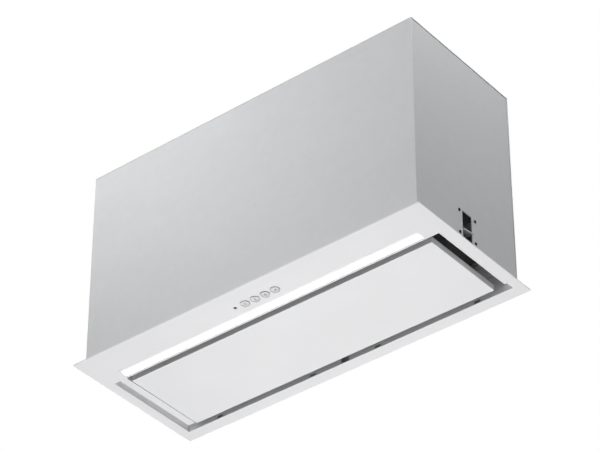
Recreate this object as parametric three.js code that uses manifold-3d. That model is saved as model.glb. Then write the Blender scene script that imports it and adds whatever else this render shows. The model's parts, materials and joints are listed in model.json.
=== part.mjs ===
// Built-in range hood with perimeter suction, in millimetres, +Z up.
// The controls face -Y. Heights here count from the flange's underside, and the group is raised at
// the end so that the origin is level with the button collars, which stand out below it.
import * as THREE from 'three';
import { mergeVertices } from 'three/addons/utils/BufferGeometryUtils.js';
import Module from 'manifold-3d';

const wasm = await Module();
wasm.setup();

// ---- driving dimensions ----
const GAP = 0.3;                 // clearance between pieces that would touch

const FLANGE_W = 700;            // bottom frame, outside
const FLANGE_D = 292;
const FLANGE_T = 1.5;
const HEM_T = 1.8;               // folded long edges of the flange
const HEM_W = 14;

const CASE_W = 672;              // casing, outside
const CASE_D = 262;
const CASE_TOP = 385;
const SHEET = 1.0;               // casing sheet
const SEAM = 2.0;                // open seam along the top and rear edges
const SEAM_DEPTH = 2.5;          // how far the covers' lips sit behind the wrapper

const OPEN_X = 332;              // half width of the suction opening
const OPEN_Y0 = -64.6;
const OPEN_Y1 = 122.6;
const WALL = 1.2;                // upstand and chamber sheet
const FRAME_WALL_TOP = 37.6;
const CHAMBER_BOTTOM = 40.6;
const LEDGE_Z = 12;
const LEDGE_IN = 318;            // inner edge of the end ledges
const LEDGE_LIP_TOP = 25;        // top of the ledges' upturned inner edges
const CORNER_SLIT = 1.4;         // open joint between an end ledge and a long wall
const REAR_SLOTS = { x: [66.5, 264], half: 6, z: [1.6, 7.4] };
const REAR_NOTCH = { half: 8, z: [1.6, 13] };
const CHAMBER_TOP = 110;
const CHAMBER_FRONT = -96;       // front edge of the chamber's top flange

const PANEL_X = 305;             // suction panel, half width
const PANEL_Y0 = -52.5;
const PANEL_Y1 = 110.5;
const PANEL_Z0 = 0.3;
const PANEL_Z1 = 11.5;
const HINGE = { x: 250, y: 98, z: 20 };  // panel hinge axis, and where its plates stand
const HINGE_PIN_R = 2;
const HINGE_EYE_R = 5.5;
const HINGE_SHELF = { y: 92.5, z: 35.6, tab: 28 };

const LIGHT_X = 302;
const LIGHT_Y0 = -88.7;
const LIGHT_Y1 = -67.8;
const CHANNEL_TOP = 17.2;

const KEY_PITCH = 20.2;
const KEY_Y = -106.3;
const KEY_HOLE_R = 8.2;
const COLLAR_R = 7.6;
const KEY_R = 6.2;
const KEY_PROUD = 1.6;           // how far the button collars stand out below the flange
const KEY_FACE_Z = -1.1;
const LENS_R = 2.7;
const HOUSING_X = 53;
const HOUSING_Y = [-119, -93.2];
const COLLAR_TOP = 9;

const FILTER_Z0 = 64;
const FILTER_Z1 = 73;
const FILTER_X0 = 2;
const FILTER_X1 = 298;
const FILTER_Y0 = -60;
const FILTER_Y1 = 120;
const FILTER_RIM = 14;
const LATCH_Z = [62.2, 63.6];
const KEEPER = { half: 11, z: [61.6, 64.4] };  // holes for the latches' tongues

const CATCH_Z = { low: 24.5, high: 67 };
const CATCH_Y = 20.5;
const WINDOW = { y: 12.3, z0: 15.6, z1: 70.2 };
const CATCH_PIVOT = { x: 318, z: 61 };
const CATCH_PIN_R = 1.5;
const CATCH_PLATE = { y: 27, z: [13.4, 76] };
const CATCH_DROP = 25.5;           // from the pivot down to the middle of the catch's lip
const CATCH_LIP = { half: 11.4, tall: 3.4, proud: 2.4, skew: 0.12 };
const CATCH_ARM = 2.4;           // width of the two arms that carry the lip

const FAN = { y: 18, z: 228 };   // blower axis, along X
const FAN_HALF = 75;             // half width of the scroll
const WHEEL_R = 66;
const WHEEL_HALF = 62;
const INLET_R = 58;
const SCROLL_R0 = 76;
const SCROLL_R1 = 110;
const SCROLL_TURN = (240 * Math.PI) / 180;
const TONGUE = (60 * Math.PI) / 180;
const NECK = 79;                 // half depth of the blower's outlet
const SHAFT_R = 4;

const DUCT_R = 75;
const DUCT_TOP = 425;
const DUCT_T = 1.4;
const DAMPER_Z = 391;
const DAMPER_PIN_R = 1.5;
const KNUCKLE_R = 3;

const GLAND = { x: 205, y: -98, r: 8 };
const POWER = { x: [120, 290], y: [-129.7, -88], z: [130, 240], wall: 2 };
const CONTROL_LEAD = [
  [27, -108.5, 26.4], [27, -109, 34], [40, -112, 46], [80, -115, 62], [130, -114, 82],
  [154, -110, 104], [160, -108, 122], [160, -108, 131],
];
const LIGHT_LEAD = [
  [286, -78, 17.6], [286, -80, 26], [284, -90, 42], [274, -102, 66], [258, -108, 92],
  [250, -108, 118], [250, -108, 131],
];
const MOTOR_LEAD = [
  [121, -108, 170], [108, -108, 170], [80, -111, 176], [30, -118, 190], [-40, -118, 206],
  [-86, -106, 216], [-106, -74, 224], [-110, -20, 229], [-102, 14, 228], [-92, 18, 228],
  [-82, 18, 228],
];

// ---- colours and finishes ----
const finish = (color, roughness, metalness) => (
  new THREE.MeshStandardMaterial({ color, roughness, metalness })
);
const WHITE = finish(0xe6e6e8, 0.35, 0.1);
const GREY_SHEET = finish(0xc4c5c8, 0.45, 0.6);
const ZINC = finish(0xb4b7ba, 0.4, 0.8);
const STEEL = finish(0x9a9da1, 0.35, 0.9);
const ALUMINIUM = finish(0xb9bcc0, 0.4, 0.9);
const LIGHT = finish(0xffffff, 0.5, 0);
const KEY = finish(0xd6d7da, 0.4, 0.1);
const DARK = finish(0x2b2c2e, 0.5, 0.1);
const HOUSING = finish(0x8e9195, 0.6, 0);
const BOARD = finish(0x2f6b45, 0.6, 0);
const COPPER = finish(0x6f4a2a, 0.5, 0.5);

// ---- geometry helpers ----
const root = new THREE.Group();

function add(name, geometry, material) {
  const mesh = new THREE.Mesh(geometry, material);
  mesh.name = name;
  root.add(mesh);
  return mesh;
}

function solid(geometry) {
  const bare = geometry.clone();
  bare.deleteAttribute('normal');
  bare.deleteAttribute('uv');
  const merged = mergeVertices(bare, 1e-4);
  return new wasm.Manifold(new wasm.Mesh({
    numProp: 3,
    vertProperties: new Float32Array(merged.attributes.position.array),
    triVerts: new Uint32Array(merged.index.array),
  }));
}

function geometryOf(manifold) {
  const mesh = manifold.getMesh();
  const geometry = new THREE.BufferGeometry();
  geometry.setAttribute('position', new THREE.BufferAttribute(mesh.vertProperties, 3));
  geometry.setIndex(new THREE.BufferAttribute(mesh.triVerts, 1));
  return geometry;
}

function join(...geometries) {
  let result = solid(geometries[0]);
  for (const other of geometries.slice(1)) {
    result = result.add(solid(other));
  }
  return geometryOf(result);
}

function cut(base, ...tools) {
  let result = solid(base);
  for (const tool of tools) {
    result = result.subtract(solid(tool));
  }
  return geometryOf(result);
}

function box(x, y, z) {
  const geometry = new THREE.BoxGeometry(x[1] - x[0], y[1] - y[0], z[1] - z[0]);
  return geometry.translate((x[0] + x[1]) / 2, (y[0] + y[1]) / 2, (z[0] + z[1]) / 2);
}

// A prism over an outline: along Z it takes (x, y), along X (y, z), along Y (x, z).
function prism(axis, outline, low, high) {
  const shape = new THREE.Shape(outline.map(([u, v]) => new THREE.Vector2(u, v)));
  const geometry = new THREE.ExtrudeGeometry(shape, { depth: high - low, bevelEnabled: false });
  const basis = new THREE.Matrix4();
  const x = new THREE.Vector3(1, 0, 0);
  const y = new THREE.Vector3(0, 1, 0);
  const z = new THREE.Vector3(0, 0, 1);
  if (axis === 'x') basis.makeBasis(y, z, x).setPosition(low, 0, 0);
  if (axis === 'y') basis.makeBasis(x, z, y.clone().negate()).setPosition(0, high, 0);
  if (axis === 'z') basis.makeBasis(x, y, z).setPosition(0, 0, low);
  return geometry.applyMatrix4(basis);
}

// A round bar along an axis; the centre is given in the plane's own two coordinates.
function bar(axis, centre, r, low, high, sides = 32) {
  const outline = [];
  for (let i = 0; i < sides; i += 1) {
    const a = (2 * Math.PI * i) / sides;
    outline.push([centre[0] + r * Math.cos(a), centre[1] + r * Math.sin(a)]);
  }
  return prism(axis, outline, low, high);
}

// A body of revolution about Z or X from closed (radius, height) points.
function turned(axis, points, centre, sides = 48) {
  const outline = points.map(([r, h]) => new THREE.Vector2(r, h));
  outline.push(outline[0].clone());
  const geometry = new THREE.LatheGeometry(outline, sides).rotateX(Math.PI / 2);
  if (axis === 'x') geometry.rotateY(Math.PI / 2);
  return geometry.translate(...centre);
}

function mirrored(geometry) {
  const copy = geometry.clone().scale(-1, 1, 1);
  const index = copy.index;
  for (let i = 0; i < index.count; i += 3) {
    const a = index.getX(i);
    index.setX(i, index.getX(i + 1));
    index.setX(i + 1, a);
  }
  return copy;
}

const half = (value) => [-value, value];
const across = (side, near, far) => (side > 0 ? [near, far] : [-far, -near]);

// ---- bottom frame ----
function keyCentres() {
  return [-1, 0, 1, 2].map((step) => step * KEY_PITCH);
}

function bottomFrame() {
  const plate = box(half(FLANGE_W / 2), half(FLANGE_D / 2), [0, FLANGE_T]);
  const hems = [-1, 1].map((side) => {
    const edge = (side * FLANGE_D) / 2;
    const inner = edge - side * HEM_W;
    return box(half(FLANGE_W / 2), [Math.min(edge, inner), Math.max(edge, inner)], [0, HEM_T]);
  });
  const wallX = OPEN_X + WALL;
  const openY = [OPEN_Y0, OPEN_Y1];
  const upstand = box(half(wallX), [OPEN_Y0 - WALL, OPEN_Y1 + WALL], [0, LEDGE_Z + WALL]);
  const longWalls = box(half(OPEN_X - GAP), [OPEN_Y0 - WALL, OPEN_Y1 + WALL], [0, FRAME_WALL_TOP]);
  const opening = box(half(OPEN_X), openY, [-1, LEDGE_Z]);
  const inlet = box(half(LEDGE_IN), openY, [LEDGE_Z - 1, FRAME_WALL_TOP + 1]);
  const overLedge = box(half(OPEN_X), openY, [LEDGE_Z + WALL, FRAME_WALL_TOP + 1]);
  const lightSlot = box(half(LIGHT_X + 0.4), [LIGHT_Y0 - 0.4, LIGHT_Y1 + 0.4], [-1, 3]);
  const keyHoles = keyCentres().map((x) => bar('z', [x, KEY_Y], KEY_HOLE_R, -1, 3, 36));
  const lensHole = bar('z', [-2 * KEY_PITCH, KEY_Y], LENS_R + GAP, -1, 3, 16);
  const wallY = [OPEN_Y1 - 1, OPEN_Y1 + WALL + 1];
  const slots = REAR_SLOTS.x.flatMap((x) => [-x, x]).map((x) => (
    box([x - REAR_SLOTS.half, x + REAR_SLOTS.half], wallY, REAR_SLOTS.z)
  ));
  const notch = box(half(REAR_NOTCH.half), wallY, REAR_NOTCH.z);
  const frame = cut(join(plate, ...hems, upstand, longWalls), opening, inlet, overLedge, lightSlot,
    ...keyHoles, lensHole, ...slots, notch);
  const lips = [-1, 1].map((side) => (
    box(across(side, LEDGE_IN, LEDGE_IN + WALL), openY, [LEDGE_Z, LEDGE_LIP_TOP])
  ));
  const slits = [-1, 1].flatMap((side) => [
    [OPEN_Y0, OPEN_Y0 + CORNER_SLIT], [OPEN_Y1 - CORNER_SLIT, OPEN_Y1],
  ].map((y) => box(across(side, LEDGE_IN - 1, wallX + 1), y, [HEM_T, LEDGE_LIP_TOP + 1])));
  return cut(join(frame, ...lips), ...slits);
}

// ---- casing ----
function screwPlaces() {
  const places = [];
  for (const z of [CATCH_Z.low, CATCH_Z.high]) {
    for (const y of [-CATCH_Y, CATCH_Y]) {
      places.push([y, z]);
    }
  }
  return places;
}

function sideCutters(sign, low, high, holeR) {
  const x = across(sign, low, high);
  const window = box(x, half(WINDOW.y), [WINDOW.z0, WINDOW.z1]);
  const holes = screwPlaces().map((at) => bar('x', at, holeR, x[0], x[1], 12));
  return [window, ...holes];
}

function casingWrapper() {
  const x = CASE_W / 2;
  const y0 = -CASE_D / 2;
  const y1 = CASE_D / 2 - SHEET - SEAM;
  const outline = [
    [-x, y1], [-x, y0], [x, y0], [x, y1], [x - SHEET, y1],
    [x - SHEET, y0 + SHEET], [-x + SHEET, y0 + SHEET], [-x + SHEET, y1],
  ];
  const shell = prism('z', outline, HEM_T + GAP, CASE_TOP - SHEET - GAP);
  const trim = [-1, 1].map((side) => {
    const range = side > 0 ? [x - SHEET, x + 1] : [-x - 1, -x + SHEET];
    return box(range, [y0 + SHEET, y1 + 1], [CASE_TOP - SHEET - SEAM, CASE_TOP]);
  });
  return cut(shell, ...trim, ...sideCutters(1, x - 3, x + 3, 2.1),
    ...sideCutters(-1, x - 3, x + 3, 2.1));
}

function rearCover() {
  const x = CASE_W / 2;
  const y1 = CASE_D / 2;
  const lip = x - SHEET - SEAM_DEPTH;
  const end = OPEN_Y1 + WALL + 2 * GAP;
  const outline = [
    [-x, y1 - SHEET], [-lip, y1 - SHEET], [-lip, end], [-lip + SHEET, end],
    [-lip + SHEET, y1 - SHEET], [lip - SHEET, y1 - SHEET], [lip - SHEET, end],
    [lip, end], [lip, y1 - SHEET], [x, y1 - SHEET], [x, y1], [-x, y1],
  ];
  return prism('z', outline, HEM_T + GAP, CASE_TOP - SHEET - GAP);
}

function topCover() {
  const x = CASE_W / 2;
  const plate = box(half(x), half(CASE_D / 2), [CASE_TOP - SHEET, CASE_TOP]);
  const lipX = x - SHEET - SEAM_DEPTH;
  const lips = [
    box([lipX - SHEET, lipX], half(112), [CASE_TOP - 14, CASE_TOP]),
    box([-lipX, -lipX + SHEET], half(112), [CASE_TOP - 14, CASE_TOP]),
  ];
  const hole = bar('z', [0, 0], DUCT_R - 3, CASE_TOP - 3, CASE_TOP + 3, 40);
  const glandHole = bar('z', [GLAND.x, GLAND.y], GLAND.r + GAP, CASE_TOP - 3, CASE_TOP + 3, 20);
  return cut(join(plate, ...lips), hole, glandHole);
}

// ---- intake chamber and filters ----
function filterCentre(side) {
  return side * (FILTER_X0 + FILTER_X1) / 2;
}

function intakeChamber() {
  const outX = OPEN_X + WALL;
  const y = [OPEN_Y0 - WALL, OPEN_Y1 + WALL];
  const sides = box(half(outX), y, [LEDGE_Z + WALL + GAP, CHAMBER_TOP]);
  const flange = box(half(outX), [CHAMBER_FRONT, y[1]], [CHAMBER_TOP - WALL, CHAMBER_TOP]);
  const inside = box(half(OPEN_X), [OPEN_Y0, OPEN_Y1], [0, CHAMBER_TOP + 1]);
  const longGap = box(half(OPEN_X), [y[0] - 1, y[1] + 1], [0, CHAMBER_BOTTOM]);
  const catchPocket = box(half(outX + 1), half(CATCH_PLATE.y + 3), [0, CATCH_PLATE.z[1] + 3]);
  const keepers = [-1, 1].map((side) => (
    box([filterCentre(side) - KEEPER.half, filterCentre(side) + KEEPER.half],
      [y[0] - 1, OPEN_Y0 + 1], KEEPER.z)
  ));
  return cut(join(sides, flange), inside, longGap, catchPocket, ...keepers);
}

function filterSeat() {
  const z = [FILTER_Z1 + 0.4, FILTER_Z1 + 1.6];
  const plate = box(half(OPEN_X - GAP), [OPEN_Y0 + GAP, OPEN_Y1 - 1.8], z);
  const windows = [-1, 1].map((side) => (
    box([filterCentre(side) - 132, filterCentre(side) + 132], [FILTER_Y0 + 16, FILTER_Y1 - 16],
      [FILTER_Z0, FILTER_Z1 + 5])
  ));
  return cut(plate, ...windows);
}

function filterRail() {
  const back = OPEN_Y1 - GAP;
  const outline = [
    [112, LATCH_Z[0]], [back, LATCH_Z[0]], [back, LATCH_Z[1] + 8], [back - WALL, LATCH_Z[1] + 8],
    [back - WALL, LATCH_Z[1]], [112, LATCH_Z[1]],
  ];
  return prism('x', outline, -310, 310);
}

function filterFrame(side) {
  const x = [filterCentre(side) - 148, filterCentre(side) + 148];
  const y = [FILTER_Y0, FILTER_Y1];
  const rim = (margin, z) => box([x[0] + margin, x[1] - margin], [y[0] + margin, y[1] - margin], z);
  const body = rim(0, [FILTER_Z0, FILTER_Z1]);
  const window = rim(FILTER_RIM, [FILTER_Z0 - 1, FILTER_Z1 + 1]);
  const groove = rim(FILTER_RIM - 4, [FILTER_Z0 + 1.5, FILTER_Z1 - 1.5]);
  return cut(body, window, groove);
}

// Folded mesh pad: a zigzag section along X.
function filterPad(side) {
  const margin = FILTER_RIM - 3.6;
  const x0 = filterCentre(side) - 148 + margin;
  const x1 = filterCentre(side) + 148 - margin;
  const folds = 30;
  const low = [];
  const high = [];
  for (let i = 0; i <= folds; i += 1) {
    const x = x0 + ((x1 - x0) * i) / folds;
    const lift = i % 2 === 0 ? 0 : 2.6;
    low.push([x, FILTER_Z0 + 1.9 + lift]);
    high.push([x, FILTER_Z0 + 3.9 + lift]);
  }
  return prism('y', [...low, ...high.reverse()], FILTER_Y0 + margin, FILTER_Y1 - margin);
}

function filterLatch(side) {
  const cx = filterCentre(side);
  const tongue = box([cx - 10, cx + 10], [-67, FILTER_Y0 + 4], LATCH_Z);
  const slide = box([cx - 18, cx + 18], [FILTER_Y0 + 2, FILTER_Y0 + 16], LATCH_Z);
  const grip = box([cx - 14, cx + 14], [FILTER_Y0 + 11, FILTER_Y0 + 15],
    [LATCH_Z[0] - 6, LATCH_Z[1]]);
  return join(tongue, slide, grip);
}

// ---- suction panel and its hinge ----
function suctionPanel() {
  const skin = 1;
  const outer = box(half(PANEL_X), [PANEL_Y0, PANEL_Y1], [PANEL_Z0, PANEL_Z1]);
  const inner = box(half(PANEL_X - skin), [PANEL_Y0 + skin, PANEL_Y1 - skin],
    [PANEL_Z0 + skin, PANEL_Z1 + 1]);
  return cut(outer, inner);
}

function panelBacking() {
  const edge = 1 + GAP;
  const skin = 0.8;
  const x = PANEL_X - edge;
  const y = [PANEL_Y0 + edge, PANEL_Y1 - edge];
  const outer = box(half(x), y, [PANEL_Z0 + 1 + GAP, PANEL_Z1 - GAP]);
  const inner = box(half(x - skin), [y[0] + skin, y[1] - skin], [0, PANEL_Z1 - GAP - skin]);
  return cut(outer, inner);
}

function hingePlate(points, x0, x1) {
  const eye = [];
  for (let i = 0; i <= 12; i += 1) {
    const a = points.start + ((points.end - points.start) * i) / 12;
    eye.push([HINGE.y + HINGE_EYE_R * Math.cos(a), HINGE.z + HINGE_EYE_R * Math.sin(a)]);
  }
  return prism('x', [...eye, ...points.rest], x0, x1);
}

function rightHingeArm() {
  const foot = PANEL_Z1 + 0.1;
  const y = [HINGE.y - 10, HINGE.y + 8];
  const x = HINGE.x;
  const rest = [[y[0], foot], [y[1], foot]];
  const web = hingePlate({ start: 0, end: Math.PI, rest }, x - 1.6, x);
  const hole = bar('x', [HINGE.y, HINGE.z], HINGE_PIN_R + GAP, x - 3, x + 3, 20);
  return cut(join(web, box([x - 16, x], y, [foot, foot + WALL])), hole);
}

function rightHingeBracket() {
  const shelf = HINGE_SHELF;
  const x = [HINGE.x + 0.4, HINGE.x + 2];
  const back = OPEN_Y1 - GAP;
  const rest = [[HINGE.y + HINGE_EYE_R, shelf.z], [shelf.y, shelf.z]];
  const web = hingePlate({ start: Math.PI, end: 2 * Math.PI, rest }, ...x);
  const plate = box([x[0], x[0] + 18], [shelf.y, back], [shelf.z, shelf.z + WALL]);
  const tab = box([x[0], x[0] + 18], [back - WALL, back], [shelf.tab, shelf.z + WALL]);
  const at = [HINGE.y, HINGE.z];
  const pin = bar('x', at, HINGE_PIN_R, x[0] - 3.6, x[1] + 1, 20);
  const heads = [[x[0] - 4, x[0] - 2.3], [x[1] - 0.3, x[1] + 1.2]].map((span) => (
    bar('x', at, HINGE_PIN_R + 1.4, ...span, 20)
  ));
  return join(web, plate, tab, pin, ...heads);
}

function panelMagnet() {
  const hold = box(half(18), [OPEN_Y0 + GAP, -46], [14.4, 20]);
  const faces = [-9, 9].map((x) => box([x - 3, x + 3], [-53, -47], [11.9, 15]));
  return join(hold, ...faces);
}

// ---- light ----
function lightDiffuser() {
  const y = (LIGHT_Y0 + LIGHT_Y1) / 2;
  const w = (LIGHT_Y1 - LIGHT_Y0) / 2;
  const outline = [
    [y - w, 0.7], [y - w + 0.5, 0.2], [y + w - 0.5, 0.2], [y + w, 0.7], [y + w, 4.2], [y - w, 4.2],
  ];
  return prism('x', outline, -LIGHT_X, LIGHT_X);
}

function lightChannel() {
  const y0 = LIGHT_Y0 - 2.2;
  const y1 = OPEN_Y0 - WALL - GAP;
  const base = FLANGE_T + GAP;
  const outline = [
    [y0 - 7, base], [y0 + 1.3, base], [y0 + 1.3, CHANNEL_TOP - 1.3], [y1 - 1.3, CHANNEL_TOP - 1.3],
    [y1 - 1.3, base], [y1, base], [y1, CHANNEL_TOP], [y0, CHANNEL_TOP], [y0, base + 1.3],
    [y0 - 7, base + 1.3],
  ];
  const keepOut = box(half(HOUSING_X + 3), [y0 - 8, y0 - 0.1], [0, 6]);
  return cut(prism('x', outline, -305, 305), keepOut);
}

function ledBoard() {
  const z = CHANNEL_TOP - 1.3 - GAP;
  const y = (LIGHT_Y0 + LIGHT_Y1) / 2;
  const strip = box(half(300), [y - 7, y + 7], [z - 1.4, z]);
  const chips = [];
  const count = 24;
  for (let i = 0; i < count; i += 1) {
    const x = -287.5 + (575 * i) / (count - 1);
    chips.push(box([x - 2, x + 2], [y - 2, y + 2], [z - 2.4, z - 1]));
  }
  return join(strip, ...chips);
}

// ---- controls ----
function controlHousing() {
  const base = FLANGE_T + GAP;
  const outer = box(half(HOUSING_X), HOUSING_Y, [base, 23]);
  const pocket = (margin, low) => (
    box(half(HOUSING_X - margin), [HOUSING_Y[0] + margin, HOUSING_Y[1] - margin], [low, 24])
  );
  const collars = keyCentres().map((x) => bar('z', [x, KEY_Y], COLLAR_R, -KEY_PROUD, COLLAR_TOP, 32));
  const bores = keyCentres().map((x) => (
    bar('z', [x, KEY_Y], KEY_R + GAP, -KEY_PROUD - 1, COLLAR_TOP + 1, 24)
  ));
  const lensAt = [-2 * KEY_PITCH, KEY_Y];
  const tube = bar('z', lensAt, LENS_R + 2, base, COLLAR_TOP, 16);
  const lensBore = bar('z', lensAt, LENS_R + GAP, -1, COLLAR_TOP + 1, 16);
  const shell = cut(outer, pocket(3, base + 1.6), pocket(1.4, 17.7));
  return cut(join(shell, ...collars, tube), ...bores, lensBore);
}

function keyCap(x) {
  const z = KEY_FACE_Z;
  const points = [
    [0, z + 0.4], [KEY_R - 0.9, z], [KEY_R, z + 0.5],
    [KEY_R, COLLAR_TOP + GAP], [KEY_R + 1.2, COLLAR_TOP + GAP], [KEY_R + 1.2, 10.5],
    [2.2, 10.5], [2.2, 12], [0, 12],
  ];
  return turned('z', points, [x, KEY_Y, 0], 20);
}

function indicatorLens() {
  const points = [
    [0, 0.25], [LENS_R * 0.6, 0.35], [LENS_R, 0.8], [LENS_R, COLLAR_TOP + GAP],
    [LENS_R + 1.2, COLLAR_TOP + GAP], [LENS_R + 1.2, 10.5], [0, 10.5],
  ];
  return turned('z', points, [-2 * KEY_PITCH, KEY_Y, 0], 16);
}

function controlBoard() {
  const board = box(half(HOUSING_X - 1.8), [HOUSING_Y[0] + 1.8, HOUSING_Y[1] - 1.8], [18, 19.6]);
  const switches = keyCentres().flatMap((x) => [
    box([x - 3, x + 3], [KEY_Y - 3, KEY_Y + 3], [14.9, 18.5]),
    bar('z', [x, KEY_Y], 1.6, 13.7, 15.5, 12),
  ]);
  const lamp = bar('z', [-2 * KEY_PITCH, KEY_Y], 1.5, 11.2, 18.5, 12);
  const socket = box([20, 34], [-112, -105], [19, 26]);
  return join(board, ...switches, lamp, socket);
}

// ---- side fixing ----
function rightCatchBracket() {
  const x1 = CASE_W / 2 - SHEET - GAP;
  const plate = box([x1 - WALL, x1], half(CATCH_PLATE.y), CATCH_PLATE.z);
  const ears = [-1, 1].map((side) => {
    const y = [side * 14.6, side * 15.8].sort((a, b) => a - b);
    return box([CATCH_PIVOT.x - 4, x1 - 1], y, half(4.2).map((step) => CATCH_PIVOT.z + step));
  });
  const pinHoles = bar('y', [CATCH_PIVOT.x, CATCH_PIVOT.z], CATCH_PIN_R + GAP, -20, 20, 12);
  return cut(join(plate, ...ears), ...sideCutters(1, x1 - 3, x1 + 1, 1.9), pinHoles);
}

// Two arms hang from the pivot and carry a folded lip that stands out of the window, a little
// further out at its rear end.
function rightSpringCatch() {
  const { x: tail, z: top } = CATCH_PIVOT;
  const { half: wide, tall, proud, skew } = CATCH_LIP;
  const lip = CASE_W / 2 + proud;
  const z = top - CATCH_DROP;
  const outline = [
    [tail - 0.6, top], [tail - 0.6, z + 3.2], [lip - 7, z - 0.6], [lip - 1.2, z + 0.4],
    [lip - 1.2, z - tall / 2], [lip, z - tall / 2], [lip, z + tall / 2], [lip - 6.8, z + 0.7],
    [tail + 0.6, z + 4.2], [tail + 0.6, top],
  ];
  const leaf = prism('y', outline, -wide, wide);
  const position = leaf.attributes.position;
  for (let i = 0; i < position.count; i += 1) {
    const weight = position.getX(i) > lip - 2 ? 1 : 0;
    position.setX(i, position.getX(i) + skew * position.getY(i) * weight);
  }
  const space = box([tail - 2, tail + 2], half(wide - CATCH_ARM), [z + 6, top - 3]);
  const pin = bar('y', [tail, top], CATCH_PIN_R, -18, 18, 12);
  return join(cut(leaf, space), pin);
}

function rightScrew([y, z]) {
  const x = CASE_W / 2 + 0.1;
  const head = [[0, -2.5], [1.6, -2.5], [1.6, 0], [2.8, 0], [2.2, 1.2], [0, 1.4]];
  return turned('x', head, [x, y, z], 10);
}

// ---- blower ----
function scrollOutline(offset) {
  const growth = Math.log(SCROLL_R1 / SCROLL_R0) / SCROLL_TURN;
  const outline = [];
  const steps = 24;
  for (let i = 0; i <= steps; i += 1) {
    const turn = (SCROLL_TURN * i) / steps;
    const r = SCROLL_R0 * Math.exp(growth * turn) + offset;
    outline.push([FAN.y + r * Math.cos(TONGUE - turn), FAN.z + r * Math.sin(TONGUE - turn)]);
  }
  const left = FAN.y - SCROLL_R1 - offset;
  outline.push([left, 330], [-NECK - offset, CASE_TOP - SHEET - GAP]);
  outline.push([NECK + offset, CASE_TOP - SHEET - GAP]);
  return outline;
}

function rightScroll() {
  const skin = 1.8;
  const outer = prism('x', scrollOutline(skin), GAP / 2, FAN_HALF);
  const inside = scrollOutline(0);
  inside[inside.length - 1][1] += 2;
  inside[inside.length - 2][1] += 2;
  const hollow = prism('x', inside, -1, FAN_HALF - skin);
  const at = [FAN.y, FAN.z];
  const lip = bar('x', at, INLET_R + 2, FAN_HALF - 1, FAN_HALF + 4, 32);
  const inlet = bar('x', at, INLET_R, FAN_HALF - 4, FAN_HALF + 6, 32);
  return cut(join(cut(outer, hollow), lip), inlet);
}

function impeller() {
  const at = [FAN.y, FAN.z];
  const ring = (x0, x1) => cut(bar('x', at, WHEEL_R, x0, x1, 32), bar('x', at, 60, x0 - 1, x1 + 1, 32));
  const pieces = [
    ring(-WHEEL_HALF, -WHEEL_HALF + 2), ring(WHEEL_HALF - 2, WHEEL_HALF),
    bar('x', at, 63, -1, 1, 32), bar('x', at, 11, -1, 15, 16),
  ];
  const blades = 20;
  for (let i = 0; i < blades; i += 1) {
    const blade = box([-WHEEL_HALF + 1, WHEEL_HALF - 1], [-4.6, 4.6], [-0.6, 0.6]);
    blade.rotateX(0.7).translate(0, 60.6, 0).rotateX((2 * Math.PI * i) / blades);
    pieces.push(blade.translate(0, FAN.y, FAN.z));
  }
  return cut(join(...pieces), bar('x', at, SHAFT_R + GAP, -20, 20, 12));
}

function motorBody() {
  const points = [
    [0, -64], [12, -64], [12, -58], [38, -58], [42, -54], [42, -12], [38, -8], [14, -8], [14, -4],
    [SHAFT_R + GAP, -4], [SHAFT_R + GAP, -34], [0, -34],
  ];
  return turned('x', points, [0, FAN.y, FAN.z], 20);
}

function motorBracket() {
  const at = [FAN.y, FAN.z];
  const pieces = [bar('x', at, 26, -81, -79.4, 20), bar('x', at, 11, -80, -64.3, 16)];
  for (let i = 0; i < 3; i += 1) {
    const arm = join(box([-81, -79.4], [10, 76], half(5)), box([-80, -75.3], [64, 76], half(5)));
    arm.rotateX((2 * Math.PI * i) / 3 + 0.5);
    pieces.push(arm.translate(0, FAN.y, FAN.z));
  }
  return join(...pieces);
}

// ---- outlet ----
function outletCollar() {
  const base = CASE_TOP + GAP;
  const inner = DUCT_R - DUCT_T;
  const points = [
    [inner - 2.6, base], [DUCT_R + 14, base], [DUCT_R + 14, base + 1.5], [DUCT_R, base + 1.5],
    [DUCT_R, DUCT_TOP - 10], [DUCT_R - 0.8, DUCT_TOP], [inner - 0.8, DUCT_TOP],
    [inner, DUCT_TOP - 10],
    [inner, DAMPER_Z - 1.2], [inner - 2.6, DAMPER_Z - 1.2],
  ];
  const holes = bar('x', [0, DAMPER_Z], DAMPER_PIN_R + GAP, -DUCT_R - 2, DUCT_R + 2, 12);
  return cut(turned('z', points, [0, 0, 0], 40), holes);
}

function damperFlap(side) {
  const r = DUCT_R - DUCT_T - 0.8;
  const inset = KNUCKLE_R + 0.5;
  const start = Math.asin(inset / r);
  const outline = [];
  const steps = 20;
  for (let i = 0; i <= steps; i += 1) {
    const a = start + ((Math.PI - 2 * start) * i) / steps;
    outline.push([r * Math.cos(a), side * r * Math.sin(a)]);
  }
  const plate = prism('z', outline, DAMPER_Z - 0.6, DAMPER_Z + 0.6);
  const spans = side > 0 ? [[-62, -44], [-16, 16], [44, 62]] : [[-42, -18], [18, 42]];
  const knuckles = spans.map(([x0, x1]) => bar('x', [0, DAMPER_Z], KNUCKLE_R, x0, x1, 12));
  const strips = spans.map(([x0, x1]) => (
    box([x0, x1], [0, side * (inset + 1)].sort((a, b) => a - b), [DAMPER_Z - 0.6, DAMPER_Z + 0.6])
  ));
  const bore = bar('x', [0, DAMPER_Z], DAMPER_PIN_R + GAP, -80, 80, 12);
  return cut(join(plate, ...knuckles, ...strips), bore);
}

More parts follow.
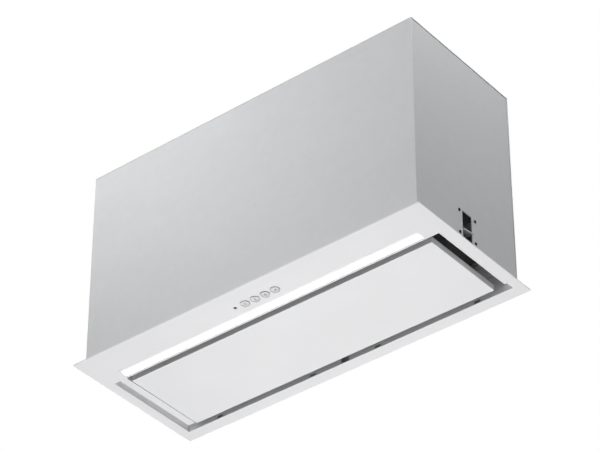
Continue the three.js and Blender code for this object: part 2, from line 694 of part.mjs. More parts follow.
// ---- electrics ----
function electronicsBox() {
  const { x, y, z, wall } = POWER;
  const inside = box([x[0] + wall, x[1] - wall], [y[0] + wall, y[1] + 1], [z[0] + wall, z[1] - wall]);
  const ports = [
    bar('z', [160, -108], 4.2, z[0] - 1, z[0] + wall + 1, 16),
    bar('z', [GLAND.x, -108], 6, z[1] - wall - 1, z[1] + 1, 16),
    bar('x', [-108, 170], 4.2, x[0] - 1, x[0] + wall + 1, 16),
    bar('z', [250, -108], 4.2, z[0] - 1, z[0] + wall + 1, 16),
  ];
  return cut(box(x, y, z), inside, ...ports);
}

function electronicsCover() {
  const { x, y, z, wall } = POWER;
  const lid = box(x, [y[1] + GAP, y[1] + GAP + 2], z);
  const edge = wall + GAP;
  const lip = box([x[0] + edge, x[1] - edge], [y[1] - 5, y[1] + 1], [z[0] + edge, z[1] - edge]);
  const hollow = box([x[0] + edge + 1.5, x[1] - edge - 1.5], [y[1] - 6, y[1] + GAP],
    [z[0] + edge + 1.5, z[1] - edge - 1.5]);
  return cut(join(lid, lip), hollow);
}

function powerBoard() {
  const back = POWER.y[0] + POWER.wall + 4;
  const board = box([126, 284], [back, back + 1.6], [136, 196]);
  const studs = [[130, 140], [280, 140], [130, 192], [280, 192]].map(([x, z]) => (
    bar('y', [x, z], 2.5, POWER.y[0] + POWER.wall + 0.1, back + 0.5, 12)
  ));
  const relays = [0, 1, 2].map((i) => (
    box([182 + i * 24, 200 + i * 24], [back + 1, back + 17], [146, 162])
  ));
  const transformer = box([262, 280], [back + 1, back + 19], [168, 188]);
  const terminals = box([132, 172], [back + 1, back + 13], [176, 188]);
  return join(board, ...studs, ...relays, transformer, terminals);
}

function motorCapacitor() {
  const points = [[0, 196], [12.5, 196], [14, 198], [14, 262], [12.5, 264], [4, 264], [4, 268],
    [0, 268]];
  return turned('x', points, [0, -109, 217], 20);
}

function cableGland() {
  const top = CASE_TOP + GAP;
  const bore = 3.6;
  const points = [
    [bore, 372], [GLAND.r, 372], [GLAND.r, top], [13, top], [13, top + 5], [11.5, top + 5.6],
    [11.5, top + 16], [8, top + 20], [bore, top + 20],
  ];
  return turned('z', points, [GLAND.x, GLAND.y, 0], 20);
}

function lead(points, r) {
  const path = new THREE.CatmullRomCurve3(points.map((p) => new THREE.Vector3(...p)), false,
    'centripetal');
  const section = new THREE.Shape();
  section.absarc(0, 0, r, 0, 2 * Math.PI);
  return new THREE.ExtrudeGeometry(section, {
    steps: 16, curveSegments: 4, bevelEnabled: false, extrudePath: path,
  });
}

// ---- the assembly ----
function addPair(name, geometry, material) {
  add(`right_${name}`, geometry, material);
  add(`left_${name}`, mirrored(geometry), material);
}

add('bottom_frame', bottomFrame(), WHITE);
add('casing_wrapper', casingWrapper(), GREY_SHEET);
add('rear_cover', rearCover(), GREY_SHEET);
add('top_cover', topCover(), GREY_SHEET);

add('intake_chamber', intakeChamber(), WHITE);
add('filter_seat', filterSeat(), DARK);
add('filter_rail', filterRail(), ZINC);
for (const [word, side] of [['left', -1], ['right', 1]]) {
  add(`${word}_filter_frame`, filterFrame(side), ALUMINIUM);
  add(`${word}_filter_mesh`, filterPad(side), ALUMINIUM);
  add(`${word}_filter_latch`, filterLatch(side), DARK);
}

add('suction_panel', suctionPanel(), WHITE);
add('panel_backing', panelBacking(), ZINC);
addPair('hinge_arm', rightHingeArm(), ZINC);
addPair('hinge_bracket', rightHingeBracket(), ZINC);
add('panel_magnet', panelMagnet(), DARK);

add('light_diffuser', lightDiffuser(), LIGHT);
add('light_channel', lightChannel(), ALUMINIUM);
add('led_board', ledBoard(), BOARD);

add('control_housing', controlHousing(), KEY);
const KEY_NAMES = ['light_button', 'low_speed_button', 'medium_speed_button', 'high_speed_button'];
keyCentres().forEach((x, i) => add(KEY_NAMES[i], keyCap(x), KEY));
add('indicator_lens', indicatorLens(), DARK);
add('control_board', controlBoard(), BOARD);

addPair('catch_bracket', rightCatchBracket(), ZINC);
addPair('spring_catch', rightSpringCatch(), STEEL);
screwPlaces().forEach((at, i) => addPair(`catch_screw_${i + 1}`, rightScrew(at), DARK));

addPair('blower_housing', rightScroll(), HOUSING);
add('impeller', impeller(), DARK);
add('motor_shaft', bar('x', [FAN.y, FAN.z], SHAFT_R, -32, 16, 12), STEEL);
add('motor_body', motorBody(), ZINC);
add('motor_bracket', motorBracket(), ZINC);

add('outlet_collar', outletCollar(), DARK);
add('front_damper_flap', damperFlap(-1), DARK);
add('rear_damper_flap', damperFlap(1), DARK);
add('damper_pin', bar('x', [0, DAMPER_Z], DAMPER_PIN_R, -73.2, 73.2, 16), STEEL);

add('electronics_box', electronicsBox(), HOUSING);
add('electronics_cover', electronicsCover(), HOUSING);
add('power_board', powerBoard(), BOARD);
add('motor_capacitor', motorCapacitor(), COPPER);
add('cable_gland', cableGland(), DARK);
add('control_lead', lead(CONTROL_LEAD, 2), DARK);
add('light_lead', lead(LIGHT_LEAD, 2), DARK);
add('motor_lead', lead(MOTOR_LEAD, 2.5), DARK);

root.position.z = KEY_PROUD;

export default root;
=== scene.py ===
import json
import math

import bmesh
import bpy
from mathutils import Matrix, Vector


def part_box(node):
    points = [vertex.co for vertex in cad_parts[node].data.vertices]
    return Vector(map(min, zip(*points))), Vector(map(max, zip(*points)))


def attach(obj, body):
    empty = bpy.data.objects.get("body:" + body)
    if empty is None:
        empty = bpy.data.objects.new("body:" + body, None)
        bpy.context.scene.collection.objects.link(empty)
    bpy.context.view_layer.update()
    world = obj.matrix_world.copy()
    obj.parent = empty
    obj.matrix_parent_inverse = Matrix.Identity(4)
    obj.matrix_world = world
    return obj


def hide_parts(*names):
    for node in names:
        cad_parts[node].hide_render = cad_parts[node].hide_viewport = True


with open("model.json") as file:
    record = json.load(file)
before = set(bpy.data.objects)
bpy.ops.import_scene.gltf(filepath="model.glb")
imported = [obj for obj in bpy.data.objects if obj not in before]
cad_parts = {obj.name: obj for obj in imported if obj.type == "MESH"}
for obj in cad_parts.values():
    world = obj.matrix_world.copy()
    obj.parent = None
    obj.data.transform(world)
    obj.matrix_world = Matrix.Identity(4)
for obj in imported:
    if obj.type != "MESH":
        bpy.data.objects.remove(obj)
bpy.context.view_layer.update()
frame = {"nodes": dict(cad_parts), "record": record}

MM = 0.001
NODES = frame["nodes"]
NODE_BODY = {n: b for b, names in frame["record"]["behaviour"]["bodies"].items() for n in names}
NODE_SLOT = {s["node"]: s["material_slot"] for s in frame["record"]["subparts"]}
KEYS = ["light_button", "low_speed_button", "medium_speed_button", "high_speed_button"]
SIDES = ["left", "right"]


def low(node):
    return Vector(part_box(node)[0])


def high(node):
    return Vector(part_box(node)[1])


def middle(node):
    return (low(node) + high(node)) / 2


# ---- camera ----
CAMERA_PLACE = Vector((2.2985, -2.8549, -2.5367))
CAMERA_AZIMUTH = math.radians(38.777)
CAMERA_ELEVATION = math.radians(-36.83)
CAMERA_LENS = 168.0


def make_camera():
    data = bpy.data.cameras.new("camera")
    data.lens = CAMERA_LENS
    data.sensor_width = 36.0
    data.clip_start, data.clip_end = 0.1, 200.0
    camera = bpy.data.objects.new("camera", data)
    bpy.context.scene.collection.objects.link(camera)
    az, el = CAMERA_AZIMUTH, CAMERA_ELEVATION
    back = Vector((math.sin(az) * math.cos(el), -math.cos(az) * math.cos(el), math.sin(el)))
    right = Vector((math.cos(az), math.sin(az), 0))
    up = back.cross(right)
    turn = Matrix((right, up, back)).transposed().to_4x4()
    camera.matrix_world = Matrix.Translation(CAMERA_PLACE) @ turn
    bpy.context.scene.camera = camera


# ---- materials ----
class Graph:
    """Short calls for making a material's nodes."""

    def __init__(self, name):
        self.material = bpy.data.materials.new(name)
        self.material.use_nodes = True
        self.nodes = self.material.node_tree.nodes
        self.links = self.material.node_tree.links
        self.shader = self.nodes["Principled BSDF"]
        self.place = self.nodes.new("ShaderNodeTexCoord").outputs["Object"]

    def put(self, **values):
        for key, value in values.items():
            self.shader.inputs[key.replace("_", " ")].default_value = value

    def link(self, source, target):
        self.links.new(source, target)

    def stretched(self, scale):
        mapping = self.nodes.new("ShaderNodeMapping")
        mapping.inputs["Scale"].default_value = scale
        self.link(self.place, mapping.inputs["Vector"])
        return mapping.outputs["Vector"]

    def noise(self, scale, detail=3.0, vector=None):
        node = self.nodes.new("ShaderNodeTexNoise")
        node.inputs["Scale"].default_value = scale
        node.inputs["Detail"].default_value = detail
        self.link(vector or self.place, node.inputs["Vector"])
        return node.outputs["Fac"]

    def cells(self, scale, feature="F1", output="Color"):
        node = self.nodes.new("ShaderNodeTexVoronoi")
        node.feature = feature
        node.inputs["Scale"].default_value = scale
        self.link(self.place, node.inputs["Vector"])
        return node.outputs[output]

    def ramp(self, value, to_low, to_high, from_low=0.0, from_high=1.0):
        node = self.nodes.new("ShaderNodeMapRange")
        spans = (("From Min", from_low), ("From Max", from_high), ("To Min", to_low), ("To Max", to_high))
        for key, number in spans:
            node.inputs[key].default_value = number
        self.link(value, node.inputs["Value"])
        return node.outputs["Result"]

    def times(self, first, second):
        node = self.nodes.new("ShaderNodeMath")
        node.operation = "MULTIPLY"
        self.link(first, node.inputs[0])
        self.link(second, node.inputs[1])
        return node.outputs["Value"]

    def mix(self, factor, first, second):
        node = self.nodes.new("ShaderNodeMix")
        node.data_type = "RGBA"
        node.inputs[6].default_value = (*first, 1.0)
        node.inputs[7].default_value = (*second, 1.0)
        self.link(factor, node.inputs[0])
        return node.outputs[2]

    def bump(self, height, distance, strength):
        node = self.nodes.new("ShaderNodeBump")
        node.inputs["Distance"].default_value = distance
        node.inputs["Strength"].default_value = strength
        self.link(height, node.inputs["Height"])
        self.link(node.outputs["Normal"], self.shader.inputs["Normal"])


def shade(colour, amount):
    return tuple(min(max(c * amount, 0.0), 1.0) for c in colour)


def powder_coat(name, colour, roughness):
    g = Graph(name)
    tone = g.ramp(g.noise(6.0, 2.0), 0.0, 1.0, 0.35, 0.65)
    g.link(g.mix(tone, shade(colour, 0.985), shade(colour, 1.012)), g.shader.inputs["Base Color"])
    g.link(g.ramp(g.noise(140.0), roughness - 0.04, roughness + 0.05), g.shader.inputs["Roughness"])
    g.bump(g.noise(950.0, 2.0), 0.00002, 0.6)
    g.put(Coat_Weight=0.15, Coat_Roughness=0.3)
    return g.material


ROLLED_GRAIN = (8.0, 8.0, 500.0)
CRYSTALS = 70.0


def rolled_sheet(name, colour, roughness, metallic, spangle):
    """Zinc-coated sheet: faint crystals under a fine rolled grain."""
    g = Graph(name)
    g.put(Metallic=metallic)
    crystal = g.nodes.new("ShaderNodeSeparateColor")
    g.link(g.cells(CRYSTALS), crystal.inputs["Color"])
    tone = g.mix(crystal.outputs["Red"], shade(colour, 1 - spangle), shade(colour, 1 + spangle))
    g.link(tone, g.shader.inputs["Base Color"])
    lines = g.noise(1.0, 4.0, g.stretched(ROLLED_GRAIN))
    g.link(g.ramp(lines, roughness - 0.05, roughness + 0.06, 0.3, 0.7), g.shader.inputs["Roughness"])
    g.bump(lines, 0.00001, 0.35)
    return g.material


def moulded(name, colour, roughness, grain=700.0, depth=0.00003):
    g = Graph(name)
    tone = g.ramp(g.noise(30.0), 0.0, 1.0, 0.3, 0.7)
    g.link(g.mix(tone, shade(colour, 0.95), shade(colour, 1.05)), g.shader.inputs["Base Color"])
    g.link(g.ramp(g.noise(90.0), roughness - 0.05, roughness + 0.05), g.shader.inputs["Roughness"])
    g.bump(g.cells(grain, "F1", "Distance"), depth, 0.7)
    return g.material


def turned_metal(name, colour, roughness):
    g = Graph(name)
    g.put(Metallic=0.9)
    lines = g.noise(1.0, 3.0, g.stretched((1400.0, 60.0, 60.0)))
    g.link(g.mix(lines, shade(colour, 0.88), shade(colour, 1.1)), g.shader.inputs["Base Color"])
    g.link(g.ramp(lines, roughness - 0.06, roughness + 0.08), g.shader.inputs["Roughness"])
    g.bump(lines, 0.00001, 0.5)
    return g.material


RISE_GLOW, RISE_WIDTH = 0.05, 0.013
FALL_GLOW, FALL_WIDTH = 0.25, 0.007


def opal(name, strength, near, far):
    """Lit opal diffuser, slightly brighter over each lamp. Its light falls off towards the two
    long edges, whose places along Y are given."""
    g = Graph(name)
    g.put(Roughness=0.45)
    g.link(g.mix(g.noise(40.0), (0.80, 0.81, 0.82), (0.84, 0.84, 0.84)), g.shader.inputs["Base Color"])
    g.shader.inputs["Emission Color"].default_value = (1.0, 1.0, 1.0, 1.0)
    wave = g.nodes.new("ShaderNodeTexWave")
    wave.wave_profile = "SIN"
    wave.inputs["Scale"].default_value = 2.0
    g.link(g.place, wave.inputs["Vector"])
    lamps = g.ramp(wave.outputs["Fac"], strength * 0.97, strength)
    split = g.nodes.new("ShaderNodeSeparateXYZ")
    g.link(g.place, split.inputs["Vector"])
    rise = g.ramp(split.outputs["Y"], RISE_GLOW, 1.0, near, near + RISE_WIDTH)
    fall = g.ramp(split.outputs["Y"], FALL_GLOW, 1.0, far, far - FALL_WIDTH)
    g.link(g.times(g.times(rise, rise), g.times(fall, lamps)), g.shader.inputs["Emission Strength"])
    return g.material


def circuit(name):
    g = Graph(name)
    g.put(Roughness=0.35)
    track = g.nodes.new("ShaderNodeTexBrick")
    track.inputs["Scale"].default_value = 90.0
    track.inputs["Mortar Size"].default_value = 0.04
    g.link(g.place, track.inputs["Vector"])
    tone = g.mix(track.outputs["Fac"], (0.02, 0.12, 0.05), (0.06, 0.25, 0.11))
    g.link(tone, g.shader.inputs["Base Color"])
    return g.material


WHITE = (0.80, 0.80, 0.812)
MATERIALS = {
    "white_paint": powder_coat("white_paint", WHITE, 0.45),
    "grey_sheet": rolled_sheet("grey_sheet", (0.60, 0.605, 0.615), 0.5, 0.2, 0.010),
    "zinc_sheet": rolled_sheet("zinc_sheet", (0.30, 0.305, 0.31), 0.45, 0.6, 0.05),
    # Black coat for the filter seat: painted shade, so the catch windows and the gaps above it look dark.
    "black_paint": powder_coat("black_paint", (0.03, 0.03, 0.032), 0.5),
    "spring_steel": turned_metal("spring_steel", (0.62, 0.62, 0.63), 0.3),
    "dark_steel": turned_metal("dark_steel", (0.02, 0.02, 0.022), 0.45),
    "filter_aluminium": rolled_sheet("filter_aluminium", (0.42, 0.425, 0.43), 0.38, 0.85, 0.02),
    "dark_plastic": moulded("dark_plastic", (0.025, 0.025, 0.027), 0.5),
    "light_diffuser": opal("light_diffuser", 1.2, low("light_diffuser").y, high("light_diffuser").y),
    "button_plastic": moulded("button_plastic", (0.72, 0.72, 0.73), 0.38, 1500.0, 0.00001),
    "grey_plastic": moulded("grey_plastic", (0.30, 0.30, 0.31), 0.5),
    "circuit_board": circuit("circuit_board"),
    "capacitor": moulded("capacitor", (0.82, 0.82, 0.80), 0.3, 300.0, 0.00001),
}
ICON = moulded("icon_print", (0.13, 0.13, 0.14), 0.5, 900.0, 0.00001)
# Darker grey for the rings in the buttons' gaps: painted shade.
SHADE_RING = moulded("painted_shade_ring", (0.42, 0.42, 0.43), 0.5, 900.0, 0.00001)
RUBBER = moulded("seal_rubber", (0.012, 0.012, 0.013), 0.7, 1200.0, 0.00002)


# ---- mesh helpers ----
def piece(name, mesh, body, slot, material=None):
    obj = bpy.data.objects.new(name, mesh)
    bpy.context.scene.collection.objects.link(obj)
    mesh.materials.clear()
    mesh.materials.append(material or MATERIALS[slot])
    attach(obj, body)
    return obj


def smooth_by_angle(mesh, degrees):
    """Smooth faces, with the edges sharper than the angle kept hard."""
    for face in mesh.polygons:
        face.use_smooth = True
    mesh.set_sharp_from_angle(angle=math.radians(degrees))


def cleaned(mesh):
    """Joins doubled vertices and makes one face of each flat stretch, or a few if it has a notch."""
    bm = bmesh.new()
    bm.from_mesh(mesh)
    bmesh.ops.remove_doubles(bm, verts=bm.verts, dist=2e-6)
    bmesh.ops.dissolve_limit(bm, angle_limit=math.radians(0.4), verts=bm.verts, edges=bm.edges)
    bmesh.ops.connect_verts_concave(bm, faces=bm.faces)
    bm.to_mesh(mesh)
    bm.free()


def with_modifier(mesh, kind, **settings):
    """The mesh as one modifier leaves it."""
    holder = bpy.data.objects.new("holder", mesh)
    bpy.context.scene.collection.objects.link(holder)
    modifier = holder.modifiers.new("change", kind)
    for key, value in settings.items():
        setattr(modifier, key, value)
    graph = bpy.context.evaluated_depsgraph_get()
    result = bpy.data.meshes.new_from_object(holder.evaluated_get(graph))
    bpy.data.objects.remove(holder)
    return result


def finished(mesh, width, segments):
    """The mesh with its sharp edges rounded, and its flat faces shaded flat."""
    cleaned(mesh)
    if width:
        mesh = with_modifier(mesh, "BEVEL", width=width, segments=segments, limit_method="ANGLE",
                             angle_limit=math.radians(32), use_clamp_overlap=True)
    smooth_by_angle(mesh, 28)
    return with_modifier(mesh, "WEIGHTED_NORMAL", mode="FACE_AREA", weight=100, keep_sharp=True)


def refine(node, width, segments):
    """Stands a copy with rounded edges in for a CAD node."""
    mesh = finished(NODES[node].data.copy(), width, segments)
    obj = piece(node + "_finished", mesh, NODE_BODY[node], NODE_SLOT[node])
    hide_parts(node)
    return obj


def lathe(profile, centre=(0, 0, 0), sides=72, flutes=0, flute_depth=0.0):
    """A closed body of revolution about Z from (radius, height) points, in millimetres.
    A point with a third number that isn't 0 belongs to a ring that the flutes are cut into."""
    bm = bmesh.new()
    rings = []
    for point in profile:
        radius, height = point[0] * MM, point[1] * MM
        if radius < 1e-7:
            rings.append([bm.verts.new((0, 0, height))])
            continue
        ring = []
        for i in range(sides):
            a = 2 * math.pi * i / sides
            dip = flute_depth * MM * (0.5 - 0.5 * math.cos(flutes * a)) if len(point) > 2 else 0.0
            ring.append(bm.verts.new(((radius - dip) * math.cos(a), (radius - dip) * math.sin(a), height)))
        rings.append(ring)
    closed = len(rings[0]) > 1
    pairs = list(zip(rings, rings[1:] + rings[:1])) if closed else list(zip(rings, rings[1:]))
    for first, second in pairs:
        for i in range(sides):
            j = (i + 1) % sides
            if len(first) == 1:
                bm.faces.new((first[0], second[j], second[i]))
            elif len(second) == 1:
                bm.faces.new((first[i], first[j], second[0]))
            else:
                bm.faces.new((first[i], first[j], second[j], second[i]))
    bmesh.ops.recalc_face_normals(bm, faces=bm.faces)
    mesh = bpy.data.meshes.new("lathe")
    bm.to_mesh(mesh)
    bm.free()
    mesh.transform(Matrix.Translation(centre))
    smooth_by_angle(mesh, 35)
    return mesh


def plate(outlines, bottom, top):
    """Flat shapes from (x, y) outlines in millimetres, each a closed prism."""
    bm = bmesh.new()
    for outline in outlines:
        lower = [bm.verts.new((x * MM, y * MM, bottom)) for x, y in outline]
        upper = [bm.verts.new((x * MM, y * MM, top)) for x, y in outline]
        bm.faces.new(lower)
        bm.faces.new(upper)
        for i in range(len(outline)):
            j = (i + 1) % len(outline)
            bm.faces.new((lower[i], lower[j], upper[j], upper[i]))
    bmesh.ops.recalc_face_normals(bm, faces=bm.faces)
    mesh = bpy.data.meshes.new("plate")
    bm.to_mesh(mesh)
    bm.free()
    return mesh


def joined(meshes):
    bm = bmesh.new()
    for mesh in meshes:
        bm.from_mesh(mesh)
    result = bpy.data.meshes.new("joined")
    bm.to_mesh(result)
    bm.free()
    return result


def moved(mesh, *matrices):
    copy = mesh.copy()
    for matrix in matrices:
        copy.transform(matrix)
    return copy


# ---- screws ----
def cross_head(radius, height, shank_radius, shank):
    """A pan head with a cross recess on a plain shank; +Z is outward and 0 is the seat."""
    profile = [
        (0, -shank), (shank_radius * 0.8, -shank), (shank_radius, 0.3 - shank), (shank_radius, 0),
        (radius * 0.96, 0), (radius, 0.12), (radius, height * 0.35), (radius * 0.93, height * 0.62),
        (radius * 0.76, height * 0.84), (radius * 0.5, height * 0.96), (0, height),
    ]
    head = lathe(profile, sides=40)
    arm, slot = radius * 0.55, radius * 0.11
    outline = [
        (-arm, -slot), (-slot, -slot), (-slot, -arm), (slot, -arm), (slot, -slot), (arm, -slot),
        (arm, slot), (slot, slot), (slot, arm), (-slot, arm), (-slot, slot), (-arm, slot),
    ]
    cutter = bpy.data.objects.new("cutter", plate([outline], height * 0.35 * MM, height * 2 * MM))
    bpy.context.scene.collection.objects.link(cutter)
    result = with_modifier(head, "BOOLEAN", object=cutter, operation="DIFFERENCE", solver="EXACT")
    bpy.data.objects.remove(cutter)
    smooth_by_angle(result, 35)
    return result


TURN_TO = {
    "+X": Matrix.Rotation(math.pi / 2, 4, "Y"),
    "-X": Matrix.Rotation(-math.pi / 2, 4, "Y"),
    "+Y": Matrix.Rotation(-math.pi / 2, 4, "X"),
    "+Z": Matrix.Identity(4),
}


def screw(name, template, place, direction, turn, slot="zinc_sheet", node=None):
    """A copy of the screw, riding on the casing; it stands in for the CAD node if one is named."""
    spin = Matrix.Rotation(turn, 4, "Z")
    mesh = moved(template, spin, TURN_TO[direction], Matrix.Translation(place))
    obj = piece(name, mesh, "casing", slot)
    if node:
        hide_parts(node)


COVER_SCREW_X = (0.322, 0.165)       # half spans between the covers' outer and inner screws
REAR_SCREW_RISE = (0.03, 0.19, 0.35)  # above the rear cover's lower edge
REAR_TOP_ROW = 0.371
TOP_SCREW_Y = (-0.095, 0, 0.095)
TOP_INNER_Y = 0.123
COLLAR_SCREWS, COLLAR_SCREW_CIRCLE = 6, 0.0825
COLLAR_FLANGE = 1.5 * MM


def all_screws():
    small = cross_head(2.8, 1.4, 1.6, 2.4)
    for side, sign in (("left", -1), ("right", 1)):
        for i in range(1, 5):
            node = f"{side}_catch_screw_{i}"
            seat = (sign * (high("casing_wrapper").x + 0.1 * MM), middle(node).y, middle(node).z)
            direction = "+X" if sign > 0 else "-X"
            screw(node + "_finished", small, seat, direction, 0.5 * i, "dark_steel", node)
    pan = cross_head(3.6, 1.7, 1.5, 0.8)
    back = high("rear_cover").y
    top = high("top_cover").z
    base = low("rear_cover").z
    outer, inner = ((-half, half) for half in COVER_SCREW_X)
    rear_places = [(x, base + rise) for x in outer for rise in REAR_SCREW_RISE]
    rear_places += [(x, base + REAR_TOP_ROW) for x in inner]
    for i, (x, z) in enumerate(rear_places):
        screw(f"rear_cover_screw_{i + 1}", pan, (x, back, z), "+Y", 0.9 * i)
    top_places = [(x, y) for x in outer for y in TOP_SCREW_Y]
    top_places += [(x, y) for x in inner for y in (-TOP_INNER_Y, TOP_INNER_Y)]
    for i, (x, y) in enumerate(top_places):
        screw(f"top_cover_screw_{i + 1}", pan, (x, y, top), "+Z", 0.7 * i)
    ring = cross_head(2.6, 1.3, 1.2, 0.8)
    flange_top = low("outlet_collar").z + COLLAR_FLANGE
    for i in range(COLLAR_SCREWS):
        a = math.radians(30 + 60 * i)
        place = (COLLAR_SCREW_CIRCLE * math.cos(a), COLLAR_SCREW_CIRCLE * math.sin(a), flange_top)
        screw(f"collar_screw_{i + 1}", ring, place, "+Z", 0.6 * i)


# ---- sheet metal and panel ----
def refined_nodes():
    """Rounds the edges of the sheet and moulded pieces; the widths are in millimetres."""
    for width, segments, names in (
        (0.35, 3, ["bottom_frame", "casing_wrapper", "rear_cover", "top_cover", "light_diffuser"]),
        (0.4, 3, ["suction_panel"]),
        (0.25, 2, ["intake_chamber", "filter_seat", "filter_rail", "panel_backing", "panel_magnet",
                   "control_housing", "electronics_box", "electronics_cover", "light_channel",
                   "motor_body", "motor_bracket", "motor_capacitor"]),
        (0.15, 2, ["impeller", "power_board", "control_board", "led_board", "front_damper_flap",
                   "rear_damper_flap", "motor_shaft", "damper_pin"]),
        (0.0, 0, ["control_lead", "light_lead", "motor_lead"]),
    ):
        for node in names:
            refine(node, width * MM, segments)
    for side in SIDES:
        for part in ("hinge_arm", "hinge_bracket", "catch_bracket", "spring_catch", "filter_frame",
                     "filter_latch", "filter_mesh", "blower_housing"):
            refine(f"{side}_{part}", 0.2 * MM, 2)


# ---- buttons, indicator and light ----
def key_caps():
    cap = [
        (0, 0.3), (4.0, 0.3), (4.55, 0.2), (5.0, 0.04), (5.35, 0), (5.7, 0.05), (6.0, 0.2), (6.16, 0.45),
        (6.2, 0.8), (6.2, 10.4), (7.4, 10.4), (7.4, 11.6), (2.2, 11.6), (2.2, 13.1), (0, 13.1),
    ]
    for node in KEYS:
        centre = (middle(node).x, middle(node).y, low(node).z)
        obj = piece(node + "_finished", lathe(cap, centre), node, "button_plastic")
        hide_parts(node)


def key_shade_rings():
    """A darker ring in the gap round each button's collar: painted shade that darkens the gap."""
    ring = [(7.65, 0.1), (7.8, 0.06), (7.95, 0.2), (7.95, 2.4), (7.65, 2.4)]
    for node in KEYS:
        centre = (middle(node).x, middle(node).y, low("control_housing").z)
        piece(node + "_shade_ring", lathe(ring, centre), "casing", "grey_plastic", SHADE_RING)


def bar_outline(x, half_width, y0, y1):
    return [(x - half_width, y0), (x + half_width, y0), (x + half_width, y1), (x - half_width, y1)]


PRINT_LOW, PRINT_HIGH = 0.22, 0.32
BAR_END = 2.4


def key_icons():
    """Printed signs: a bulb on the light key, and one to three rising bars on the speed keys."""
    bars = [
        [bar_outline(0, 0.75, -BAR_END, BAR_END)],
        [bar_outline(x, 0.7, y, BAR_END) for x, y in ((-1.3, -1.2), (1.3, -BAR_END))],
        [bar_outline(x, 0.65, y, BAR_END) for x, y in ((-2.3, 0.3), (0, -1.1), (2.3, -BAR_END))],
    ]
    foot = [bar_outline(0, 0.95, 1.35, 1.85), bar_outline(0, 0.7, 2.2, 2.7)]
    for node, outlines in zip(KEYS, [foot] + bars):
        sign = plate(outlines, PRINT_LOW * MM, PRINT_HIGH * MM)
        if node == "light_button":
            ring = [(1.45, PRINT_LOW), (2.0, PRINT_LOW), (2.0, PRINT_HIGH), (1.45, PRINT_HIGH)]
            bulb = lathe(ring, sides=40)
            bulb.transform(Matrix.Translation((0, -0.7 * MM, 0)))
            sign = joined([sign, bulb])
        sign.transform(Matrix.Translation((middle(node).x, middle(node).y, low(node).z)))
        piece(node + "_sign", sign, node, "dark_plastic", ICON)


def indicator():
    dome = [
        (0, 0), (0.9, 0.03), (1.6, 0.12), (2.2, 0.3), (2.55, 0.55), (2.7, 0.9), (2.7, 9.05), (3.9, 9.05),
        (3.9, 10.25), (0, 10.25),
    ]
    node = "indicator_lens"
    centre = (middle(node).x, middle(node).y, low(node).z)
    obj = piece(node + "_finished", lathe(dome, centre, 40), NODE_BODY[node], "dark_plastic")
    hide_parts(node)


# ---- outlet ----
def outlet():
    wall = [
        (71, 0), (88.6, 0), (89, 0.3), (89, 1.2), (88.6, 1.5), (77, 1.5), (75.7, 2), (75, 3.2),
        (75, 17), (75.9, 17.7), (76.3, 18.8), (75.9, 19.9), (75, 20.6), (75, 28), (74.9, 29.7),
        (74.3, 37.5), (74.2, 39), (73.9, 39.5), (73.5, 39.7), (73.1, 39.5), (72.8, 39), (72.9, 37.5),
        (73.5, 29.7), (73.6, 28), (73.6, 4.8), (73.3, 4.5), (71.2, 4.5), (71, 4.3),
    ]
    base = low("outlet_collar").z
    obj = piece("outlet_collar_finished", lathe(wall, (0, 0, base), 128), "casing", "dark_plastic")
    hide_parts("outlet_collar")
    seal = [
        (74.7, 32.2), (75.3, 32.2), (76.6, 31.4), (76.8, 31.7), (75.5, 32.9), (75.3, 34), (76.4, 33.5),
        (76.5, 33.8), (75.2, 35), (74.5, 35),
    ]
    piece("outlet_seal", lathe(seal, (0, 0, base), 128), "casing", "dark_plastic", RUBBER)
    boss = [(0, 0), (3.4, 0), (3.4, 0.9), (2.9, 1.3), (1.9, 1.4), (1.7, 1.1), (0, 1.0)]
    for name, sign in (("left", -1), ("right", 1)):
        turn = TURN_TO["+X" if sign > 0 else "-X"]
        place = Matrix.Translation((sign * 74.9 * MM, 0, middle("damper_pin").z))
        piece(f"{name}_pin_boss", moved(lathe(boss, sides=32), turn, place), "casing", "dark_plastic")


def gland():
    node = "cable_gland"
    centre = Vector((middle(node).x, middle(node).y, low(node).z))
    seat = 13.3     # where the gland stands on the top cover, above its own lower end
    tube = [
        (3.9, 0), (7.8, 0), (8, 0.3), (8, seat), (12.8, seat), (13, seat + 0.3), (13, seat + 4.7),
        (12.7, seat + 5), (9.4, seat + 5), (9.4, seat + 14), (5.2, seat + 14), (3.9, seat + 12),
    ]
    obj = piece("cable_gland_body", lathe(tube, centre, 96), "casing", "dark_plastic")
    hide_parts(node)
    nut = [
        (9.6, seat + 5.4), (11.3, seat + 5.4), (11.8, seat + 5.9, 1), (11.8, seat + 14.2, 1),
        (11.2, seat + 15.6, 1), (10.1, seat + 17.6), (8.6, seat + 19.2), (7.6, seat + 19.7),
        (6.2, seat + 19.7), (5.9, seat + 19.3), (5.9, seat + 14.3), (9.6, seat + 14.3),
    ]
    piece("cable_gland_nut", lathe(nut, centre, 144, flutes=12, flute_depth=0.8), "casing", "dark_plastic")
    ring = [
        (3.7, seat + 14.5), (5.7, seat + 14.5), (5.7, seat + 18.9), (5.2, seat + 19.3), (4.1, seat + 19.3),
        (3.7, seat + 18.9),
    ]
    piece("cable_gland_seal", lathe(ring, centre, 64), "casing", "dark_plastic", RUBBER)


# ---- filters ----
def expanded_sheet(x0, x1, y0, y1, z, long_way, short_way, strand):
    """A sheet of diamonds, each strand a closed bar of that width."""
    bm = bmesh.new()
    columns = round((x1 - x0) / long_way)
    rows = round((y1 - y0) / short_way)
    dx, dy = (x1 - x0) / columns / 2, (y1 - y0) / rows / 2
    grid = {}

    def vertex(i, j):
        if (i, j) not in grid:
            grid[i, j] = bm.verts.new((x0 + i * dx, y0 + j * dy, z))
        return grid[i, j]

    for i in range(1, 2 * columns):
        for j in range(1, 2 * rows):
            if (i + j) % 2:
                bm.faces.new((vertex(i - 1, j), vertex(i, j - 1), vertex(i + 1, j), vertex(i, j + 1)))
    mesh = bpy.data.meshes.new("expanded")
    bm.to_mesh(mesh)
    bm.free()
    return with_modifier(mesh, "WIREFRAME", thickness=strand, use_boundary=True, use_replace=True,
                         use_even_offset=False)


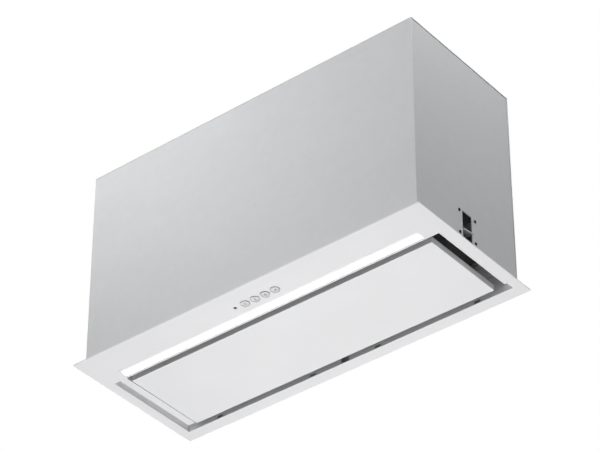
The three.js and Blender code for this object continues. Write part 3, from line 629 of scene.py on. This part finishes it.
LATTICE_RIM = 12.5 * MM
LATTICE_RISE = 1.45 * MM
DIAMOND = (11 * MM, 5.5 * MM)
STRAND = 0.75 * MM


def filter_faces():
    for side in SIDES:
        node = f"{side}_filter_frame"
        start, end = low(node), high(node)
        x = (start.x + LATTICE_RIM, end.x - LATTICE_RIM)
        y = (start.y + LATTICE_RIM, end.y - LATTICE_RIM)
        mesh = expanded_sheet(*x, *y, start.z + LATTICE_RISE, *DIAMOND, STRAND)
        piece(f"{side}_filter_lattice", mesh, "casing", "filter_aluminium")


# ---- light and floor ----
FLOOR_Z, FLOOR_SIZE = -4.2, 160
FLOOR_GLOW = 0.36


def floor_paint():
    """Pale paint with a glow that only the picture sees, so that it doesn't light the hood."""
    material = moulded("floor_paint", (0.86, 0.86, 0.86), 0.7, 40.0, 0.0001)
    nodes, links = material.node_tree.nodes, material.node_tree.links
    shader = nodes["Principled BSDF"]
    shader.inputs["Emission Color"].default_value = (1.0, 1.0, 1.0, 1.0)
    glow = nodes.new("ShaderNodeMath")
    glow.operation = "MULTIPLY"
    glow.inputs[1].default_value = FLOOR_GLOW
    links.new(nodes.new("ShaderNodeLightPath").outputs["Is Camera Ray"], glow.inputs[0])
    links.new(glow.outputs["Value"], shader.inputs["Emission Strength"])
    return material


def make_stage():
    bpy.ops.mesh.primitive_grid_add(x_subdivisions=2, y_subdivisions=2, size=FLOOR_SIZE)
    floor = bpy.context.object
    floor.name = "floor"
    floor.location = (0, 0, FLOOR_Z)
    floor.data.materials.append(floor_paint())


WORLD_LIGHT = 0.37
# name: place, aim, width, depth, watts, spread in degrees
LIGHTS = {
    "below": ((0.0, 0.0, -2.5), (0, 0, 0), 1.4, 1.0, 5.9, 60),
    "front_left": ((-1.0, -0.95, 1.3), (-0.3, -0.13, 0.35), 0.8, 0.8, 8.6, 180),
    "front_low": ((0.6, -2.6, 0.15), (0, -0.13, 0.2), 1.6, 0.6, 9.6, 180),
    "right_high": ((0.8, -0.3, 1.15), (0.336, 0, 0.35), 0.45, 0.45, 9.9, 180),
    "overhead": ((-0.3, 0.5, 2.6), (0, 0, 0.4), 2.0, 2.0, 20, 180),
    "rear_left": ((-1.8, 2.4, 1.0), (0, 0.1, 0.2), 1.6, 1.6, 25, 180),
}


def make_lights():
    scene = bpy.context.scene
    scene.view_settings.view_transform = "Standard"
    scene.view_settings.look = "None"
    world = bpy.data.worlds.new("studio")
    scene.world = world
    world.use_nodes = True
    tree = world.node_tree
    tree.nodes.clear()
    out = tree.nodes.new("ShaderNodeOutputWorld")
    shades = []
    for strength in (WORLD_LIGHT, 1.0):
        shade_node = tree.nodes.new("ShaderNodeBackground")
        shade_node.inputs["Color"].default_value = (1, 1, 1, 1)
        shade_node.inputs["Strength"].default_value = strength
        shades.append(shade_node)
    mix = tree.nodes.new("ShaderNodeMixShader")
    path = tree.nodes.new("ShaderNodeLightPath")
    tree.links.new(path.outputs["Is Camera Ray"], mix.inputs[0])
    tree.links.new(shades[0].outputs[0], mix.inputs[1])
    tree.links.new(shades[1].outputs[0], mix.inputs[2])
    tree.links.new(mix.outputs[0], out.inputs["Surface"])
    for name, (place, aim, width, depth, watts, spread) in LIGHTS.items():
        data = bpy.data.lights.new(name, "AREA")
        data.energy = watts
        data.shape = "RECTANGLE"
        data.size, data.size_y = width, depth
        data.spread = math.radians(spread)
        light = bpy.data.objects.new(name, data)
        bpy.context.scene.collection.objects.link(light)
        light.location = place
        light.rotation_mode = "QUATERNION"
        light.rotation_quaternion = (Vector(aim) - Vector(place)).to_track_quat("-Z", "Y")
        light.visible_camera = False


make_camera()
refined_nodes()
key_caps()
key_shade_rings()
key_icons()
indicator()
outlet()
gland()
filter_faces()
all_screws()
make_stage()
make_lights()
